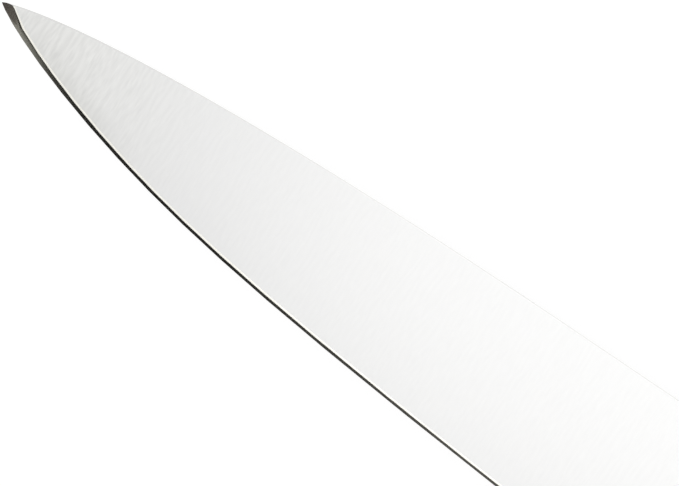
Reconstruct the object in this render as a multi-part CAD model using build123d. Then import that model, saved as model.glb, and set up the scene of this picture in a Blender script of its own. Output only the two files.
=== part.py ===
from build123d import *
import math
import os

# A forged carving knife lying on its right side. The blade, bolster and full tang are one drop forging,
# two moulded scales sit on the tang, and three two-piece cutlery rivets clamp them.
# It is drawn with +X from the tip towards the butt, +Y towards the spine and the left side up. The
# drawing's origin is where the spine line meets the front of the scales, midway through the thickness.
# All lengths are millimetres.

# Blade
blade_length = 200.0          # tip to the end of the sharpened edge
tip_drop = 8.3                # how far the point lies below the spine line
spine_run = 112.0             # length over which the spine curves down to the point
nose_length = 1.2             # the last of the spine, which is rounded down to the point
nose_drop = 0.16              # how much further the rounding takes it
spine_thickness_heel = 2.6
spine_thickness_middle = 2.24
spine_thickness_forward = 1.85
spine_thickness_tip = 1.17
middle_from_tip = 110.0       # from here back to the bolster the thickness grows evenly
forward_from_tip = 50.0
edge_thickness = 0.22         # left at the heel behind the sharpened bevel
bevel_angle = 15.0            # degrees each side
bevel_reach = 3.0             # how far in from the edge the sharpening stone works
point_bevel_angle = 12.0      # the stone lies flatter round the point, where the bevel is wider
point_bevel_length = 1.5      # how far this pass follows the edge before it runs off straight
point_bevel_runoff = 8.0
forging_easing = 0.25         # rounding of the spine's corners and of the bolster's front rim

# Bolster and finger guard
bolster_length = 15.5         # end of the sharpened edge to the scales
flare_radius = 11.0           # hollow that blends the ground face into the bolster
flare_lead = 2.0              # how far ahead of the end of the sharpened edge the hollow starts
flare_turn = 80.0             # degrees the hollow turns through
guard_drop = 10.5             # how far the guard's foot and the heel lie below the handle
guard_notch_radius = 8.0      # hollow for the first finger, behind the guard
guard_thickness_foot = 3.4
guard_thickness_root = 5.0
guard_corner_radius = 1.2     # rear lower corner of the guard
guard_web_radius = 4.0        # hollow between the bolster's underside and the guard

# Handle
handle_length = 116.0
handle_height = 24.0          # at the bolster
handle_thickness = 16.0
handle_edge_radius = 4.5
tang_thickness = 3.0

# Rivets
front_rivet_from_bolster = 20.0
rear_rivet_from_butt = 24.0
rivet_head_diameter = 6.6
rivet_head_thickness = 2.2
rivet_head_chamfer = 0.12
barrel_diameter = 4.6
post_diameter = 3.0
barrel_end_gap = 0.6          # between the barrel's end and the other head
post_end_gap = 0.8            # between the post's end and the floor of its bore
post_engagement = 9.0         # length of post inside the barrel
post_lead_chamfer = 0.3
head_clearance = 0.02         # all round
barrel_clearance = 0.1        # all round
post_clearance = 0.01         # all round
rivet_names = ("front_rivet", "middle_rivet", "rear_rivet")

# The edge and the spine are curves drawn by shares of the sizes that they follow. The handle's outline
# turns at corners, each at a share of the handle's length and height, with an arc that takes a share of
# the shorter side beside it.
edge_pull_shares = ((0.039, 0.225), (0.25, 0.698), (0.275, 0.565), (0.481, 0.84))
spine_pull_shares = ((0.19, 0.92), (0.79, 1.0))
grip_corner_shares = (
    (0.44, 0.0, 0.2), (0.90, -0.095, 0.36), (1.0, -0.42, 0.46), (1.0, -1.235, 0.47),
    (0.76, -0.935, 0.42), (0.44, -1.05, 0.42), (0.15, -0.945, 0.48),
)
easing_wall_share = 0.85      # of half the thickness at the point, the most that the easing takes

overrun = 5.0                 # how far a cutting solid runs past what it cuts

tip_x = -(blade_length + bolster_length)
edge_end_x = -bolster_length
heel_height = handle_height + guard_drop
half_handle = handle_thickness / 2
half_tang = tang_thickness / 2
head_floor = half_handle - rivet_head_thickness
face_fall = (spine_thickness_heel - edge_thickness) / 2 / heel_height
point_half = spine_thickness_tip / 2 - face_fall * tip_drop
easing = min(forging_easing, easing_wall_share * point_half)
notch_radius = min(guard_notch_radius, guard_drop - guard_corner_radius)
rivet_span = handle_length - front_rivet_from_bolster - rear_rivet_from_butt
rivet_spacing = rivet_span / (len(rivet_names) - 1)
rivet_places = [
    (front_rivet_from_bolster + number * rivet_spacing, -handle_height / 2)
    for number in range(len(rivet_names))
]


def mirrored(solid):
    """The same solid on the other side of the knife."""
    return mirror(solid, about=Plane.XY)


def edge_curve():
    """The cutting edge from the tip to where the sharpened bevel ends, in the middle of the thickness."""
    belly = heel_height - tip_drop
    pulls = [(tip_x + along * blade_length, -tip_drop - down * belly) for along, down in edge_pull_shares]
    return Bezier((tip_x, -tip_drop), *pulls, (edge_end_x, -heel_height))


def spine_curves():
    """The rounding behind the point, and the spine from there up to where it runs straight."""
    pulls = [(tip_x + along * spine_run, (up - 1) * tip_drop) for along, up in spine_pull_shares]
    whole = Bezier((tip_x, nose_drop - tip_drop), *pulls, (tip_x + spine_run, 0))
    spine = whole.trim(nose_length / whole.length, 1)
    nose = TangentArc(spine @ 0, (tip_x, -tip_drop), tangent=-(spine % 0))
    return nose, spine


def grip_outline():
    """The handle seen from the side, the same for the tang and both scales."""
    corners = [Vector(along * handle_length, up * handle_height) for along, up, bend in grip_corner_shares]
    points = [Vector(0, 0), *corners, Vector(0, -handle_height)]
    face = make_face(Polyline(*points, close=True))
    for number, (along, up, bend) in enumerate(grip_corner_shares):
        before, corner, after = points[number:number + 3]
        side, next_side = corner - before, after - corner
        reach = bend * min(side.length, next_side.length)
        radius = reach / math.tan(math.radians(side.get_angle(next_side) / 2))
        face = fillet(face.vertices().sort_by_distance(corner)[0], radius)
    return face


def blade_outline():
    """The blade, bolster and finger guard seen from the side."""
    edge = edge_curve()
    nose, spine = spine_curves()
    notch_foot = -handle_height - notch_radius
    top = Polyline(spine @ 1, (0, 0), (0, -handle_height))
    notch = CenterArc((0, notch_foot), notch_radius, 90, 90)
    foot = Polyline(notch @ 1, (-notch_radius, -heel_height), edge @ 1)
    face = make_face([edge, nose, spine, top, notch, foot])
    corner = face.vertices().filter_by(lambda v: v.Y < notch_foot).sort_by(Axis.X)[-1]
    return fillet(corner, guard_corner_radius)


def ground_half():
    """Everything below the blade's left ground face and the hollow that rises to the bolster.

    One thickness profile, from the tip to the bolster, is run down along the slope of the ground face.
    """
    forward_x, middle_x = tip_x + forward_from_tip, tip_x + middle_from_tip
    flare_x = edge_end_x - flare_lead
    tip_half, forward_half = spine_thickness_tip / 2, spine_thickness_forward / 2
    middle_half, heel_half = spine_thickness_middle / 2, spine_thickness_heel / 2
    ahead = Line((tip_x - overrun, tip_half), (tip_x, tip_half))
    even = Line((middle_x, middle_half), (flare_x, heel_half))
    taper = Spline(
        ahead @ 1,
        (forward_x, forward_half),
        even @ 0,
        tangents=[(forward_x - tip_x, forward_half - tip_half), even % 0],
    )
    flare = JernArc(even @ 1, even % 1, flare_radius, flare_turn)
    rise = half_handle + face_fall * heel_height + overrun
    top = flare @ 1 + (flare % 1) * rise
    far = Polyline(flare @ 1, top, (overrun, top.Y), (overrun, -rise), (tip_x - overrun, -rise), ahead @ 0)
    profile = make_face([ahead, taper, even, flare, far])
    slope = Vector(0, -1, -face_fall)
    start = Plane(origin=slope * -overrun, x_dir=(1, 0, 0), z_dir=slope)
    return extrude(start * profile, amount=heel_height + 2 * overrun)


def bolster_section():
    """The bolster and guard seen from the tip, run the full length of the blade."""
    root, foot = guard_thickness_root / 2, guard_thickness_foot / 2
    lean = (root - foot) / guard_drop
    top, low = root + lean * handle_edge_radius, foot - lean * overrun
    guard = Polyline(
        (-top, -handle_height + handle_edge_radius),
        (top, -handle_height + handle_edge_radius),
        (low, -heel_height - overrun),
        (-low, -heel_height - overrun),
        close=True,
    )
    body = Pos(0, -handle_height / 2) * RectangleRounded(handle_thickness, handle_height, handle_edge_radius)
    section = offset(offset(body + make_face(guard), guard_web_radius), -guard_web_radius)
    back = Plane(origin=(0, 0, 0), x_dir=(0, 0, 1), z_dir=(-1, 0, 0))
    return extrude(back * section, amount=overrun - tip_x)


def bevel_cutter(course, angle):
    """What the sharpening stone takes off the left side when its low corner follows a course."""
    wall = bevel_reach * math.tan(math.radians(angle))
    profile = Polyline(
        (-overrun, 0),
        (0, 0),
        (bevel_reach, wall),
        (bevel_reach, half_handle),
        (-overrun, half_handle),
        close=True,
    )
    start = Plane(origin=course @ 0, x_dir=(course % 0).rotate(Axis.Z, 90), z_dir=course % 0)
    upright = Line((0, 0, 0), (0, 0, 1)).edge()
    return sweep(start * make_face(profile), path=course, binormal=upright)


def bevel_cutters():
    """The whole bevel on the left side, from past the tip, and the flatter pass round the point."""
    edge = edge_curve()
    lead = Line(edge @ 0 - (edge % 0) * overrun, edge @ 0)
    near = edge.trim_to_length(0, point_bevel_length)
    runoff = Line(near @ 1, near @ 1 + (near % 1) * point_bevel_runoff)
    whole = bevel_cutter(Wire([lead, edge]), bevel_angle)
    point = bevel_cutter(Wire([lead, near, runoff]), point_bevel_angle)
    return whole, point


def forged_blade():
    """The drop forging: ground and sharpened blade, bolster with finger guard, and full tang."""
    side = extrude(blade_outline(), amount=half_handle + overrun, both=True)
    half = ground_half()
    blank = (side & bolster_section() & half & mirrored(half)).solid()
    spine_corners = blank.edges().group_by(Axis.Y)[-1].sort_by(SortBy.LENGTH)[-2:]
    eased = fillet(spine_corners, easing)
    sharpened = eased
    for cutter in bevel_cutters():
        sharpened = sharpened - cutter - mirrored(cutter)
    forging = sharpened + extrude(grip_outline(), amount=half_tang, both=True)
    hole = Cylinder(barrel_diameter / 2 + barrel_clearance, tang_thickness + 2 * overrun)
    for x, y in rivet_places:
        forging -= Pos(x, y) * hole
    return forging


def left_scale():
    """The left scale, rounded over its outer rim, with a stepped hole for each rivet."""
    scale = Pos(0, 0, half_tang) * extrude(grip_outline(), amount=half_handle - half_tang)
    rim = scale.edges().group_by(Axis.Z)[-1].sort_by(Axis.X)[1:]
    scale = fillet(rim, handle_edge_radius)
    head = Cylinder(rivet_head_diameter / 2 + head_clearance, rivet_head_thickness + overrun)
    hole = Cylinder(barrel_diameter / 2 + barrel_clearance, 2 * handle_thickness)
    for x, y in rivet_places:
        scale -= Pos(x, y, head_floor + (rivet_head_thickness + overrun) / 2) * head
        scale -= Pos(x, y) * hole
    return scale


def rivet_head():
    """A flush head for the left side, with its rim just broken."""
    head = Cylinder(rivet_head_diameter / 2, rivet_head_thickness)
    head = chamfer(head.edges().group_by(Axis.Z)[-1], rivet_head_chamfer)
    return Pos(0, 0, head_floor + rivet_head_thickness / 2) * head


def rivet_barrel():
    """The rivet's left half: a head on a tube that reaches almost to the other head."""
    end = barrel_end_gap - head_floor
    bore_floor = end + post_engagement + post_end_gap
    tube = Cylinder(barrel_diameter / 2, head_floor - end)
    bore = Cylinder(post_diameter / 2 + post_clearance, bore_floor - end + overrun)
    tube = Pos(0, 0, (head_floor + end) / 2) * tube
    return rivet_head() + tube - Pos(0, 0, (bore_floor + end - overrun) / 2) * bore


def rivet_post():
    """The rivet's right half: a head on a solid post that is pressed up into the barrel."""
    end = barrel_end_gap - head_floor + post_engagement
    post = Cylinder(post_diameter / 2, end + head_floor)
    post = chamfer(post.edges().group_by(Axis.Z)[-1], post_lead_chamfer)
    return mirrored(rivet_head()) + Pos(0, 0, (end - head_floor) / 2) * post


def main():
    scale, barrel, post = left_scale(), rivet_barrel(), rivet_post()
    pieces = {"forged_blade": forged_blade(), "left_scale": scale, "right_scale": mirrored(scale)}
    for name, (x, y) in zip(rivet_names, rivet_places):
        pieces[name + "_barrel"] = Pos(x, y) * barrel
        pieces[name + "_post"] = Pos(x, y) * post
    box = Compound(list(pieces.values())).bounding_box()
    floor = Pos(-box.center().X, -box.center().Y, -box.min.Z)
    os.makedirs("parts", exist_ok=True)
    for name, piece in pieces.items():
        solid = (floor * piece).solid()
        solid.label = name
        export_step(solid, os.path.join("parts", name + ".step"))


main()
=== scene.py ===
import math

import bpy
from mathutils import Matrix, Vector


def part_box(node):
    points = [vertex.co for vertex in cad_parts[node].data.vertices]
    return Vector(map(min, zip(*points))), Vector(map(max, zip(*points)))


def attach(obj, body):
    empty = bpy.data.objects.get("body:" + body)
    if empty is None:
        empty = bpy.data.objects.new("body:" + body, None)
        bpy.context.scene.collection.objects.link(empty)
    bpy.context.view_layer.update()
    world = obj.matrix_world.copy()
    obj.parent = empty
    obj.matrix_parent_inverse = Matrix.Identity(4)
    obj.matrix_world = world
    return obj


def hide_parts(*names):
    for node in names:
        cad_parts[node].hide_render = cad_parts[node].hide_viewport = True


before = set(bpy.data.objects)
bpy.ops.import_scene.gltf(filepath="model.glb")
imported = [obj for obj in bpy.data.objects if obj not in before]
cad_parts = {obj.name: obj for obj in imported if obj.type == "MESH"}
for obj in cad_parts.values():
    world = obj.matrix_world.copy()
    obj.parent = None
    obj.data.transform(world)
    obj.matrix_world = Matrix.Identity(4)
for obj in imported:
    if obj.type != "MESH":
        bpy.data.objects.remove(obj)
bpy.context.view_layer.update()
print("frame loaded:", len(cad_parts), "nodes")

mm = 0.001


def linearColour(hexText):
    # sRGB hex to the linear colour that a shader takes
    parts = [int(hexText[i:i + 2], 16) / 255 for i in (0, 2, 4)]
    return tuple(p / 12.92 if p <= 0.04045 else ((p + 0.055) / 1.055) ** 2.4 for p in parts) + (1.0,)


def addNode(tree, kind, inputs=None, **settings):
    node = tree.nodes.new(kind)
    for name, value in settings.items():
        setattr(node, name, value)
    for name, value in (inputs or {}).items():
        if isinstance(value, bpy.types.NodeSocket):
            tree.links.new(value, node.inputs[name])
        else:
            node.inputs[name].default_value = value
    return node


def newMaterial(name):
    material = bpy.data.materials.new(name)
    material.use_nodes = True
    material.node_tree.nodes.clear()
    return material, material.node_tree


def finishMaterial(tree, shader):
    addNode(tree, "ShaderNodeOutputMaterial", {"Surface": shader})


def deselectAll():
    if bpy.context.object and bpy.context.object.mode != "OBJECT":
        bpy.ops.object.mode_set(mode="OBJECT")
    bpy.ops.object.select_all(action="DESELECT")


def makeActive(obj):
    deselectAll()
    obj.select_set(True)
    bpy.context.view_layer.objects.active = obj


# The camera looks straight down, turned so that the knife runs down to the right.
cameraPlan = {
    "tipAcross": 8.95 * mm,   # the point's place across the knife
    "fromTip": (70.88 * mm, -1.84 * mm),   # picture centre, along and across the knife from its tip
    "fieldWidth": 116.07 * mm,   # what the picture's width spans at the blade
    "turn": 34.0,   # degrees between the knife's length and the picture's width
    "lens": 150.0,
    "sensor": 36.0,
    "clipStart": 10.0 * mm,
}


def placeCamera():
    # gives back the picture's centre, in the blade's middle plane
    plan = cameraPlan
    low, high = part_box("forged_blade")
    tip = Vector((low.x, plan["tipAcross"], (low.z + high.z) / 2))
    centre = tip + Vector((*plan["fromTip"], 0))
    above = Vector((0, 0, plan["fieldWidth"] * plan["lens"] / plan["sensor"]))
    bpy.ops.object.camera_add(location=centre + above, rotation=(0, 0, math.radians(plan["turn"])))
    camera = bpy.context.object
    camera.data.sensor_width = plan["sensor"]
    camera.data.lens = plan["lens"]
    camera.data.clip_start = plan["clipStart"]
    bpy.context.scene.camera = camera
    return centre


pictureCentre = placeCamera()
bpy.context.scene.view_settings.view_transform = "Standard"
print("camera set")


# What the knife is made of. Places along and across it are in the blade's own coordinates.
steelPlan = {
    "colour": "E5E5E5",
    "lineDark": "DDDDDB",
    "linePale": "ECECEA",
    "lineSpan": (0.25, 0.75),   # the values of the lines' pattern that are darkest and palest
    "linePitch": 0.5 * mm,   # belt grit is finer, so these lines are drawn coarse enough to show
    "lineLength": 2.6 * mm,
    "lineLean": -1.0,   # degrees off square to the spine
    "hatchPitch": 1.2 * mm,   # where the belt chattered the lines lie a steady pitch apart
    "hatchLength": 4.5 * mm,
    "hatchRange": (0.36, 0.64),   # keeps them as faint as the other lines
    "groupSize": 4.0 * mm,
    "groupSpan": (0.45, 0.62),   # from strays alone to hatching alone
    "gritPitch": 0.3 * mm,   # the grit's own lines, for the sheen and for near views
    "gritLength": 2.0 * mm,
    "fadeFrom": -152.0 * mm,   # the lines are plainest at the point, where the belt lingers,
    "fadeTo": -124.0 * mm,   # and this share of them is gone from here on
    "faded": 0.75,
    "roughness": (0.29, 0.33),
    "grooveDepth": 0.002 * mm,
    "grooveStrength": 0.2,
    "polished": "D6D5D2",
    "polishPitch": 0.3 * mm,
    "polishLength": 6.0 * mm,
    "polishRoughness": (0.25, 0.33),
    "polishFrom": (29.0 * mm, 35.0 * mm),   # the belt lines fade into the bolster's polish over this
}

# Painted shade round the belly: the ground face's colour is darkened near the bevel, as if the face rolled
# off there and mirrored less white.
bellyShadePlan = {
    "shadeTint": "F5F5F4",
    "lean": 18.4,   # degrees between the belly's chord there and the knife's length
    "chord": (-157.75 * mm, 5.95 * mm),   # a place on that chord
    "away": (-0.3 * mm, 3.4 * mm),   # from the chord, where the painted shade is full and where it is gone
    "begins": (-160.0 * mm, -150.0 * mm),   # along the blade, the painted shade sets in over this stretch
    "ends": (-141.0 * mm, -130.0 * mm),   # and fades out over this one
}

# Painted highlight on the spine's eased corners: their colour is darker at the point and painted brighter
# towards the bolster.
cornerHighlightPlan = {
    "darkEnd": "DEDEDC",
    "brightEnd": "F0F0EE",
    "wear": (-155.0 * mm, -90.0 * mm),   # the painted highlight runs from dark up to the first to bright from the second on
}

# A noise's values crowd about a half. These parts of its range are stretched over what it drives.
wideSpan = (0.3, 0.7)
narrowSpan = (0.35, 0.65)


def stretched(tree, place, pitch, length, across):
    # turned by some degrees, then counted in pitches along X and in lengths the other two ways
    turned = addNode(tree, "ShaderNodeMapping", {"Vector": place, "Rotation": (0, 0, math.radians(across))})
    return addNode(tree, "ShaderNodeMapping", {
        "Vector": turned.outputs["Vector"],
        "Scale": (1 / pitch, 1 / length, 1 / length),
    }).outputs["Vector"]


def stretchedNoise(tree, place, pitch, length, across=0.0, detail=2.0):
    # short streaks, about a pitch apart
    return addNode(tree, "ShaderNodeTexNoise", {
        "Vector": stretched(tree, place, pitch, length, across),
        "Scale": 1.0,
        "Detail": detail,
        "Roughness": 0.6,
    }).outputs["Fac"]


def hatching(tree, place, pitch, length, across=0.0):
    # parallel streaks that keep to their pitch but wander a little
    return addNode(tree, "ShaderNodeTexWave", {
        "Vector": stretched(tree, place, pitch, length, across),
        "Scale": math.pi / 10,   # the length of this texture's own wave, so that a wave is a pitch long
        "Distortion": 5.0,
        "Detail": 1.0,
        "Detail Scale": 1.8,
    }).outputs["Fac"]


def beltLines(tree, place):
    # stray lines, and here and there a group of them a steady pitch apart
    plan = steelPlan
    lean = plan["lineLean"]
    strays = stretchedNoise(tree, place, plan["linePitch"], plan["lineLength"], across=lean, detail=1.0)
    waves = hatching(tree, place, plan["hatchPitch"], plan["hatchLength"], across=lean)
    low, high = plan["hatchRange"]
    hatch = addNode(tree, "ShaderNodeMapRange", {"Value": waves, "To Min": low, "To Max": high})
    patches = addNode(tree, "ShaderNodeTexNoise", {
        "Vector": place, "Scale": 1 / plan["groupSize"], "Detail": 1.0,
    })
    low, high = plan["groupSpan"]
    groups = addNode(tree, "ShaderNodeMapRange", {
        "Value": patches.outputs["Fac"], "From Min": low, "From Max": high,
    })
    return addNode(tree, "ShaderNodeMix", {
        "Factor": groups.outputs["Result"], "A": strays, "B": hatch.outputs["Result"],
    }).outputs["Result"]


def linedColour(tree, along, lines):
    # the lines are darker and paler tones, which fade out behind the point
    plan = steelPlan
    tone = addNode(tree, "ShaderNodeValToRGB", {"Fac": lines})
    tones = (plan["lineDark"], plan["linePale"])
    for stop, position, colour in zip(tone.color_ramp.elements, plan["lineSpan"], tones):
        stop.position = position
        stop.color = linearColour(colour)
    faded = addNode(tree, "ShaderNodeMapRange", {
        "Value": along, "From Min": plan["fadeFrom"], "From Max": plan["fadeTo"], "To Max": plan["faded"],
    })
    return addNode(tree, "ShaderNodeMix", {
        "Factor": faded.outputs["Result"], "A": tone.outputs["Color"], "B": linearColour(plan["colour"]),
    }, data_type="RGBA").outputs["Result"]


def paintedBellyShade(tree, place, along, colour):
    # painted shade: it fades with the distance from the belly's chord, and towards both ends of its stretch
    plan = bellyShadePlan
    lean = math.radians(plan["lean"])
    x, y = plan["chord"]
    onChord = x * math.sin(lean) + y * math.cos(lean)
    distance = addNode(tree, "ShaderNodeVectorMath", {
        0: place, 1: (math.sin(lean), math.cos(lean), 0),
    }, operation="DOT_PRODUCT").outputs["Value"]
    near, far = plan["away"]
    shadeNearChord = addNode(tree, "ShaderNodeMapRange", {
        "Value": distance,
        "From Min": onChord + near, "From Max": onChord + far, "To Min": 1.0, "To Max": 0.0,
    }).outputs["Result"]
    low, high = plan["begins"]
    begun = addNode(tree, "ShaderNodeMapRange", {
        "Value": along, "From Min": low, "From Max": high, "To Max": shadeNearChord,
    }).outputs["Result"]
    low, high = plan["ends"]
    ended = addNode(tree, "ShaderNodeMapRange", {
        "Value": along, "From Min": low, "From Max": high, "To Min": begun, "To Max": 0.0,
    }).outputs["Result"]
    return addNode(tree, "ShaderNodeMix", {
        "Factor": ended, "A": colour, "B": linearColour(plan["shadeTint"]),
    }, data_type="RGBA", blend_type="MULTIPLY").outputs["Result"]


# painted highlight: the eased corners' colour runs from darker at the point to brighter towards the bolster
def paintedCornerHighlight(tree, along):
    plan = cornerHighlightPlan
    low, high = plan["wear"]
    worn = addNode(tree, "ShaderNodeMapRange", {"Value": along, "From Min": low, "From Max": high})
    return addNode(tree, "ShaderNodeMix", {
        "Factor": worn.outputs["Result"],
        "A": linearColour(plan["darkEnd"]),
        "B": linearColour(plan["brightEnd"]),
    }, data_type="RGBA").outputs["Result"]


def groundSteel(name, cornerHighlight=False):
    # X50 stainless, belt ground across the blade: a pale satin with faint lines square to the spine,
    # which run out into the finer polish of the bolster. The ground face has painted shade near the belly's
    # edge, and the spine's corners a painted highlight in place of the lines.
    plan = steelPlan
    material, tree = newMaterial(name)
    place = addNode(tree, "ShaderNodeTexCoord").outputs["Object"]
    along = addNode(tree, "ShaderNodeSeparateXYZ", {"Vector": place}).outputs["X"]
    lines = beltLines(tree, place)
    grit = stretchedNoise(tree, place, plan["gritPitch"], plan["gritLength"], across=plan["lineLean"])
    buffing = stretchedNoise(tree, place, plan["polishPitch"], plan["polishLength"])
    if cornerHighlight:
        # the spine's corners: painted highlight
        surface = paintedCornerHighlight(tree, along)
    else:
        # the ground face's lined colour, with painted shade near the belly's edge
        surface = paintedBellyShade(tree, place, along, linedColour(tree, along, lines))
    low, high = plan["polishFrom"]
    polish = addNode(tree, "ShaderNodeMapRange", {
        "Value": along, "From Min": low, "From Max": high,
    }, interpolation_type="SMOOTHSTEP").outputs["Result"]
    colour = addNode(tree, "ShaderNodeMix", {
        "Factor": polish, "A": surface, "B": linearColour(plan["polished"]),
    }, data_type="RGBA")
    belt = addNode(tree, "ShaderNodeMix", {"Factor": 0.5, "A": lines, "B": grit}).outputs["Result"]
    low, high = plan["roughness"]
    rough = addNode(tree, "ShaderNodeMapRange", {
        "Value": belt,
        "From Min": narrowSpan[0], "From Max": narrowSpan[1], "To Min": low, "To Max": high,
    })
    low, high = plan["polishRoughness"]
    smooth = addNode(tree, "ShaderNodeMapRange", {
        "Value": buffing,
        "From Min": wideSpan[0], "From Max": wideSpan[1], "To Min": low, "To Max": high,
    })
    roughness = addNode(tree, "ShaderNodeMix", {
        "Factor": polish, "A": rough.outputs["Result"], "B": smooth.outputs["Result"],
    })
    height = addNode(tree, "ShaderNodeMix", {"Factor": polish, "A": belt, "B": buffing})
    grooves = addNode(tree, "ShaderNodeBump", {
        "Height": height.outputs["Result"],
        "Strength": plan["grooveStrength"],
        "Distance": plan["grooveDepth"],
    })
    shader = addNode(tree, "ShaderNodeBsdfPrincipled", {
        "Base Color": colour.outputs["Result"],
        "Metallic": 1.0,
        "Roughness": roughness.outputs["Result"],
        "Normal": grooves.outputs["Normal"],
    })
    finishMaterial(tree, shader.outputs["BSDF"])
    return material


honedPlan = {
    "colour": "C9C7C2",
    "pitch": 0.12 * mm,   # stone scratches, finer than a pixel
    "length": 0.9 * mm,
    "lean": 20.0,   # degrees off square to the spine, about square to the belly's edge
    "roughness": (0.11, 0.17),
}


def honedSteel():
    # the same steel honed on a fine stone: nearly a mirror, so it takes the dark of what stands beside it
    plan = honedPlan
    material, tree = newMaterial("honedStainless")
    place = addNode(tree, "ShaderNodeTexCoord").outputs["Object"]
    scratches = stretchedNoise(tree, place, plan["pitch"], plan["length"], across=plan["lean"])
    low, high = plan["roughness"]
    rough = addNode(tree, "ShaderNodeMapRange", {
        "Value": scratches,
        "From Min": wideSpan[0], "From Max": wideSpan[1], "To Min": low, "To Max": high,
    })
    shader = addNode(tree, "ShaderNodeBsdfPrincipled", {
        "Base Color": linearColour(plan["colour"]),
        "Metallic": 1.0,
        "Roughness": rough.outputs["Result"],
    })
    finishMaterial(tree, shader.outputs["BSDF"])
    return material


shoulderHighlightPlan = {
    # a near-white cream, the painted highlight
    "colour": "FBF9F0",
    "pitch": 1.6 * mm,   # rubbed unevenly, in patches longer than the line is wide
    "length": 0.8 * mm,
    "roughness": (0.19, 0.27),
}


def paintedHighlightSteel():
    # the line where the stone stops: a smoother strip whose near-white cream colour is a painted highlight
    plan = shoulderHighlightPlan
    material, tree = newMaterial("shoulderPaintedHighlight")
    place = addNode(tree, "ShaderNodeTexCoord").outputs["Object"]
    rubs = stretchedNoise(tree, place, plan["pitch"], plan["length"])
    low, high = plan["roughness"]
    rough = addNode(tree, "ShaderNodeMapRange", {
        "Value": rubs,
        "From Min": wideSpan[0], "From Max": wideSpan[1], "To Min": low, "To Max": high,
    })
    shader = addNode(tree, "ShaderNodeBsdfPrincipled", {
        "Base Color": linearColour(plan["colour"]),
        "Metallic": 1.0,
        "Roughness": rough.outputs["Result"],
    })
    finishMaterial(tree, shader.outputs["BSDF"])
    return material


beltPlan = {
    "tangColour": "CFCECB",
    "rivetColour": "D4D3D0",
    "pitch": 0.16 * mm,   # fine finishing belt
    "length": 7.0 * mm,
    "turn": 90.0,   # degrees, so that the lines run along the handle
    "roughness": (0.24, 0.36),
    "grooveDepth": 0.002 * mm,
    "grooveStrength": 0.3,
}


def beltFinished(name, colour):
    # stainless finished flush with the scales on a fine belt: a soft sheen with lines along the handle
    plan = beltPlan
    material, tree = newMaterial(name)
    place = addNode(tree, "ShaderNodeTexCoord").outputs["Object"]
    lines = stretchedNoise(tree, place, plan["pitch"], plan["length"], across=plan["turn"], detail=3.0)
    low, high = plan["roughness"]
    rough = addNode(tree, "ShaderNodeMapRange", {
        "Value": lines,
        "From Min": wideSpan[0], "From Max": wideSpan[1], "To Min": low, "To Max": high,
    })
    grooves = addNode(tree, "ShaderNodeBump", {
        "Height": lines, "Strength": plan["grooveStrength"], "Distance": plan["grooveDepth"],
    })
    shader = addNode(tree, "ShaderNodeBsdfPrincipled", {
        "Base Color": linearColour(colour),
        "Metallic": 1.0,
        "Roughness": rough.outputs["Result"],
        "Normal": grooves.outputs["Normal"],
    })
    finishMaterial(tree, shader.outputs["BSDF"])
    return material


scalePlan = {
    "colour": "151516",
    "worn": "1D1D1E",
    "grain": 0.22 * mm,   # pits of the spark-eroded mould
    "grainDepth": 0.012 * mm,
    "grainStrength": 0.5,
    "wearSize": 14.0 * mm,
    "wearSpan": (0.45, 0.75),   # from the mould's own tone to the worn one
    "roughness": (0.38, 0.52),
    "ior": 1.48,
}


def mouldedAcetal():
    # black acetal (POM) from a spark-eroded mould: fine even matt, a little sheen where hands have rubbed
    plan = scalePlan
    material, tree = newMaterial("mouldedAcetal")
    place = addNode(tree, "ShaderNodeTexCoord").outputs["Object"]
    grain = addNode(tree, "ShaderNodeTexNoise", {
        "Vector": place, "Scale": 1 / plan["grain"], "Detail": 2.0, "Roughness": 0.55,
    }).outputs["Fac"]
    wear = addNode(tree, "ShaderNodeTexNoise", {
        "Vector": place, "Scale": 1 / plan["wearSize"], "Detail": 3.0,
    }).outputs["Fac"]
    low, high = plan["roughness"]
    rough = addNode(tree, "ShaderNodeMapRange", {
        "Value": wear,
        "From Min": narrowSpan[0], "From Max": narrowSpan[1], "To Min": high, "To Max": low,
    })
    low, high = plan["wearSpan"]
    worn = addNode(tree, "ShaderNodeMapRange", {"Value": wear, "From Min": low, "From Max": high})
    colour = addNode(tree, "ShaderNodeMix", {
        "Factor": worn.outputs["Result"],
        "A": linearColour(plan["colour"]),
        "B": linearColour(plan["worn"]),
    }, data_type="RGBA")
    pits = addNode(tree, "ShaderNodeBump", {
        "Height": grain, "Strength": plan["grainStrength"], "Distance": plan["grainDepth"],
    })
    shader = addNode(tree, "ShaderNodeBsdfPrincipled", {
        "Base Color": colour.outputs["Result"],
        "Roughness": rough.outputs["Result"],
        "IOR": plan["ior"],
        "Normal": pits.outputs["Normal"],
    })
    finishMaterial(tree, shader.outputs["BSDF"])
    return material


# The blade is a copy of the forging, with its grinding told apart face by face.
bladePlan = {
    "mergeBelow": 0.002 * mm,
    "grindEnd": 32.3 * mm,   # ground face in front of this, bolster behind it
    "tangStart": 49.75 * mm,
    "bevelLean": (-0.36, -0.10),   # how far a bevel face's normal leans towards the edge
    "bevelUpright": 0.95,   # upright share of its normal, at least
    "easedLean": 0.02,   # how far a face of the spine's corners leans towards the spine, at least
    "easedUpright": 0.08,   # and the upright share of its normal, at least
    "flatEnough": 0.998,   # upright share of a ground face's normal, at least
    "shoulderWidth": 0.32 * mm,   # each side of the line between bevel and ground face
    "shoulderStop": 0.33 * mm,   # how far short of the spine the soft line ends
    "outerHalf": 0.9925,   # the shoulder's outer half stands less upright than this
    "cutBelow": 0.0001 * mm,   # corners this near a cut lie on it
    "smoothBelow": 28.0,   # degrees
    "faceWeight": 100,   # the normals follow the larger face
}
ground, honed, shoulderHighlight, eased, belt = range(5)   # the blade's material slots


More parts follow.
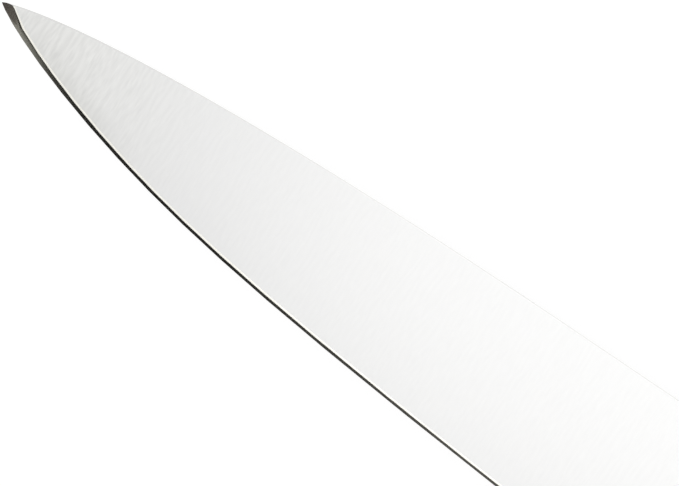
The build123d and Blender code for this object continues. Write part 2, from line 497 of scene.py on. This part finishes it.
def mergedCopy(source, name):
    # a copy whose faces share their corners, with no normals of its own
    copy = bpy.data.objects.new(name, source.data.copy())
    bpy.context.scene.collection.objects.link(copy)
    makeActive(copy)
    bpy.ops.object.mode_set(mode="EDIT")
    bpy.ops.mesh.select_all(action="SELECT")
    bpy.ops.mesh.remove_doubles(threshold=bladePlan["mergeBelow"])
    bpy.ops.mesh.customdata_custom_splitnormals_clear()
    bpy.ops.mesh.select_all(action="DESELECT")
    bpy.ops.mesh.select_mode(type="FACE")
    bpy.ops.object.mode_set(mode="OBJECT")
    return copy


def sortFaces(mesh):
    # the sharpened bevel's faces lean towards the edge, those of the spine's corners towards the spine,
    # and those of the tang lie behind the bolster
    plan = bladePlan
    lowLean, highLean = plan["bevelLean"]
    for face in mesh.polygons:
        lean, upright = face.normal.y, abs(face.normal.z)
        face.material_index = ground
        if face.center.x > plan["tangStart"]:
            face.material_index = belt
        elif face.center.x < plan["grindEnd"]:
            if lowLean < lean < highLean and upright > plan["bevelUpright"]:
                face.material_index = honed
            elif lean > plan["easedLean"] and upright > plan["easedUpright"]:
                face.material_index = eased


def facesBeside(mesh):
    # the faces on each edge
    beside = {}
    for face in mesh.polygons:
        for key in face.edge_keys:
            beside.setdefault(key, []).append(face)
    return beside


def shoulderEdges(mesh):
    # the edges where the bevel meets the flat of a ground face
    beside = facesBeside(mesh)
    found = []
    for edge in mesh.edges:
        first, second = sorted(beside[edge.key], key=lambda face: face.material_index)
        meets = (first.material_index, second.material_index) == (ground, honed)
        if meets and abs(first.normal.z) > bladePlan["flatEnough"]:
            found.append(edge)
    return found


def cutShoulder(mesh):
    # one cut across the shoulder near the spine, where the soft line ends
    plan = bladePlan
    places = [mesh.vertices[corner].co for edge in shoulderEdges(mesh) for corner in edge.vertices]
    end = min(places, key=lambda place: place.x)
    others = [place for place in places if place.x > end.x + plan["mergeBelow"]]
    following = min(others, key=lambda place: place.x)
    course = Vector((following.x - end.x, following.y - end.y, 0)).normalized()
    cut = end + course * plan["shoulderStop"]
    bpy.ops.object.mode_set(mode="EDIT")
    bpy.ops.mesh.select_all(action="SELECT")
    bpy.ops.mesh.bisect(plane_co=cut, plane_no=course, threshold=plan["cutBelow"])
    bpy.ops.mesh.select_all(action="DESELECT")
    bpy.ops.object.mode_set(mode="OBJECT")
    return cut, course


def softenShoulder(mesh, cut):
    # two narrow faces in place of each edge: the outer is still honed, the inner takes the painted
    # highlight
    plan = bladePlan
    for edge in shoulderEdges(mesh):
        foremost = min(mesh.vertices[corner].co.x for corner in edge.vertices)
        edge.select = foremost > cut.x - plan["mergeBelow"]
    bpy.context.tool_settings.mesh_select_mode = (False, True, False)
    bpy.ops.object.mode_set(mode="EDIT")
    bpy.ops.mesh.bevel(
        offset=plan["shoulderWidth"], segments=2, affect="EDGES", clamp_overlap=False, material=shoulderHighlight,
    )
    bpy.ops.mesh.select_all(action="DESELECT")
    bpy.ops.object.mode_set(mode="OBJECT")
    for face in mesh.polygons:
        if face.material_index == shoulderHighlight and abs(face.normal.z) < plan["outerHalf"]:
            face.material_index = honed


def paintHighlightCorner(mesh, cut, course):
    # the small corner of each ground face between the soft line's end and the spine, which takes the
    # painted highlight too
    for face in mesh.polygons:
        flat = abs(face.normal.z) > bladePlan["flatEnough"]
        if flat and face.material_index == ground and (face.center - cut).dot(course) < 0:
            face.material_index = shoulderHighlight


def shadeBlade(blade):
    # smooth, apart from the forging's corners and the sharp ones that honing leaves
    mesh = blade.data
    bpy.ops.object.shade_smooth_by_angle(angle=math.radians(bladePlan["smoothBelow"]))
    beside = facesBeside(mesh)
    for edge in mesh.edges:
        slots = {face.material_index for face in beside[edge.key]}
        if honed in slots and len(slots) == 2:
            edge.use_edge_sharp = True
    weighted = blade.modifiers.new("weighted", "WEIGHTED_NORMAL")
    weighted.keep_sharp = True
    weighted.weight = bladePlan["faceWeight"]
    bpy.ops.object.modifier_apply(modifier=weighted.name)


def makeBlade():
    blade = mergedCopy(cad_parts["forged_blade"], "ground_blade")
    mesh = blade.data
    mesh.materials.clear()
    for material in (
        groundSteel("groundStainless"),
        honedSteel(),
        paintedHighlightSteel(),
        groundSteel("easedStainlessHighlight", cornerHighlight=True),
        beltFinished("beltFinishedTang", beltPlan["tangColour"]),
    ):
        mesh.materials.append(material)
    sortFaces(mesh)
    cut, course = cutShoulder(mesh)
    softenShoulder(mesh, cut)
    paintHighlightCorner(mesh, cut, course)
    shadeBlade(blade)
    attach(blade, "root")
    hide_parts("forged_blade")


makeBlade()
print("blade made")


# The scales and rivets are the CAD's own solids, with their finishes.
def dressNode(name, material):
    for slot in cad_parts[name].material_slots:
        slot.material = material


acetal = mouldedAcetal()
rivetSteel = beltFinished("beltFinishedRivet", beltPlan["rivetColour"])
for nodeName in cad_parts:
    if nodeName.endswith("_scale"):
        dressNode(nodeName, acetal)
    elif nodeName.endswith(("_barrel", "_post")):
        dressNode(nodeName, rivetSteel)
print("handle dressed")


# The studio is a pale floor, a white surround, a softbox above and dark cards that the bevel mirrors.
studioPlan = {
    "floorHalf": 3.0,
    "floorLit": "9B9B9B",   # the part of the floor's white that takes light and shadow
    "floorGlow": 0.76,   # the rest, which camera and mirrors see
    "white": "FFFFFF",
    "surroundShown": 1.0,   # what camera and mirrors see of the surround
    "surroundFill": 0.85,   # what it sheds
    "softboxHeight": 0.62,
    "softboxSize": (0.56, 0.50),
    "softboxAway": (0.225, 0.0),   # from the picture's centre, along and across the knife
    "softboxTurn": 12.0,   # degrees
    "softboxPower": 0.344,
}


def seenDirectly(tree):
    # 1 for camera, glossy and transmission rays
    path = addNode(tree, "ShaderNodeLightPath")
    seen = path.outputs["Is Camera Ray"]
    for kind in ("Is Glossy Ray", "Is Transmission Ray"):
        either = addNode(tree, "ShaderNodeMath", {0: seen, 1: path.outputs[kind]}, operation="MAXIMUM")
        seen = either.outputs[0]
    return seen


def makeFloor():
    plan = studioPlan
    bpy.ops.mesh.primitive_plane_add(size=2 * plan["floorHalf"])
    floor = bpy.context.object
    floor.name = "floor"
    material, tree = newMaterial("paperSweep")
    lit = addNode(tree, "ShaderNodeBsdfDiffuse", {"Color": linearColour(plan["floorLit"])})
    glow = addNode(tree, "ShaderNodeEmission", {
        "Color": linearColour(plan["white"]), "Strength": plan["floorGlow"],
    })
    none = addNode(tree, "ShaderNodeEmission", {"Strength": 0.0})
    shown = addNode(tree, "ShaderNodeMixShader", {
        0: seenDirectly(tree), 1: none.outputs[0], 2: glow.outputs[0],
    })
    total = addNode(tree, "ShaderNodeAddShader", {0: lit.outputs[0], 1: shown.outputs[0]})
    finishMaterial(tree, total.outputs[0])
    floor.data.materials.append(material)


def makeSurround():
    plan = studioPlan
    world = bpy.data.worlds.new("surround")
    bpy.context.scene.world = world
    world.use_nodes = True
    tree = world.node_tree
    tree.nodes.clear()
    fill, shown = [
        addNode(tree, "ShaderNodeBackground", {"Color": linearColour(plan["white"]), "Strength": strength})
        for strength in (plan["surroundFill"], plan["surroundShown"])
    ]
    mixed = addNode(tree, "ShaderNodeMixShader", {
        0: seenDirectly(tree), 1: fill.outputs[0], 2: shown.outputs[0],
    })
    addNode(tree, "ShaderNodeOutputWorld", {"Surface": mixed.outputs[0]})


# Each card stands over the knife's edge side, tilted from overhead, and glows so faintly that only the
# honed bevel shows it. Its ends and colour stops are metres along the knife from the picture's centre.
cardPlans = (
    {
        "name": "bevelCard",
        "tilt": 31.5,   # degrees
        "away": 0.345,
        "depth": 0.16,
        "ends": (-0.34, 0.46),
        "stops": (
            (-0.202, "5C5751"), (-0.188, "CECEC6"), (-0.178, "BEBFB8"), (-0.163, "50504B"),
            (-0.145, "252522"), (-0.055, "1B1B18"), (0.070, "666562"),
        ),
    },
    {
        "name": "pointCard",
        "tilt": 18.7,
        "away": 0.340,
        "depth": 0.062,
        "ends": (-0.27, -0.128),
        "stops": (
            (-0.206, "27272A"), (-0.194, "77716A"), (-0.185, "77716A"), (-0.178, "221E0C"),
        ),
    },
)


def cardPaper(plan):
    # a paper that glows in the card's colours, blended from stop to stop
    front, back = plan["ends"]
    material, tree = newMaterial(plan["name"] + "Paper")
    place = addNode(tree, "ShaderNodeTexCoord").outputs["Object"]
    along = addNode(tree, "ShaderNodeSeparateXYZ", {"Vector": place}).outputs["X"]
    share = addNode(tree, "ShaderNodeMapRange", {"Value": along, "From Min": -0.5, "From Max": 0.5})
    ramp = addNode(tree, "ShaderNodeValToRGB", {"Fac": share.outputs["Result"]})
    stops = ramp.color_ramp.elements
    while len(stops) < len(plan["stops"]):
        stops.new(0.5)
    for stop, (where, colour) in zip(stops, plan["stops"]):
        stop.position = (where - front) / (back - front)
        stop.color = linearColour(colour)
    paper = addNode(tree, "ShaderNodeEmission", {"Color": ramp.outputs["Color"], "Strength": 1.0})
    finishMaterial(tree, paper.outputs[0])
    return material


def makeCard(plan, centre):
    tilt = math.radians(plan["tilt"])
    front, back = plan["ends"]
    towards = Vector((0, -math.sin(tilt), math.cos(tilt)))
    middle = centre + Vector(((front + back) / 2, 0, 0)) + towards * plan["away"]
    bpy.ops.mesh.primitive_plane_add(size=1, location=middle, rotation=(math.pi + tilt, 0, 0))
    card = bpy.context.object
    card.name = plan["name"]
    card.scale = (back - front, plan["depth"], 1)
    card.data.materials.append(cardPaper(plan))
    card.visible_camera = False   # other views look through it
    card.visible_diffuse = False
    card.visible_shadow = False


def makeSoftbox(centre):
    plan = studioPlan
    place = centre + Vector((*plan["softboxAway"], plan["softboxHeight"]))
    turn = math.radians(plan["softboxTurn"])
    bpy.ops.object.light_add(type="AREA", location=place, rotation=(0, 0, turn))
    lamp = bpy.context.object
    lamp.data.shape = "RECTANGLE"
    lamp.data.size, lamp.data.size_y = plan["softboxSize"]
    lamp.data.energy = plan["softboxPower"]


makeFloor()
makeSurround()
for cardPlan in cardPlans:
    makeCard(cardPlan, pictureCentre)
makeSoftbox(pictureCentre)
print("studio set")
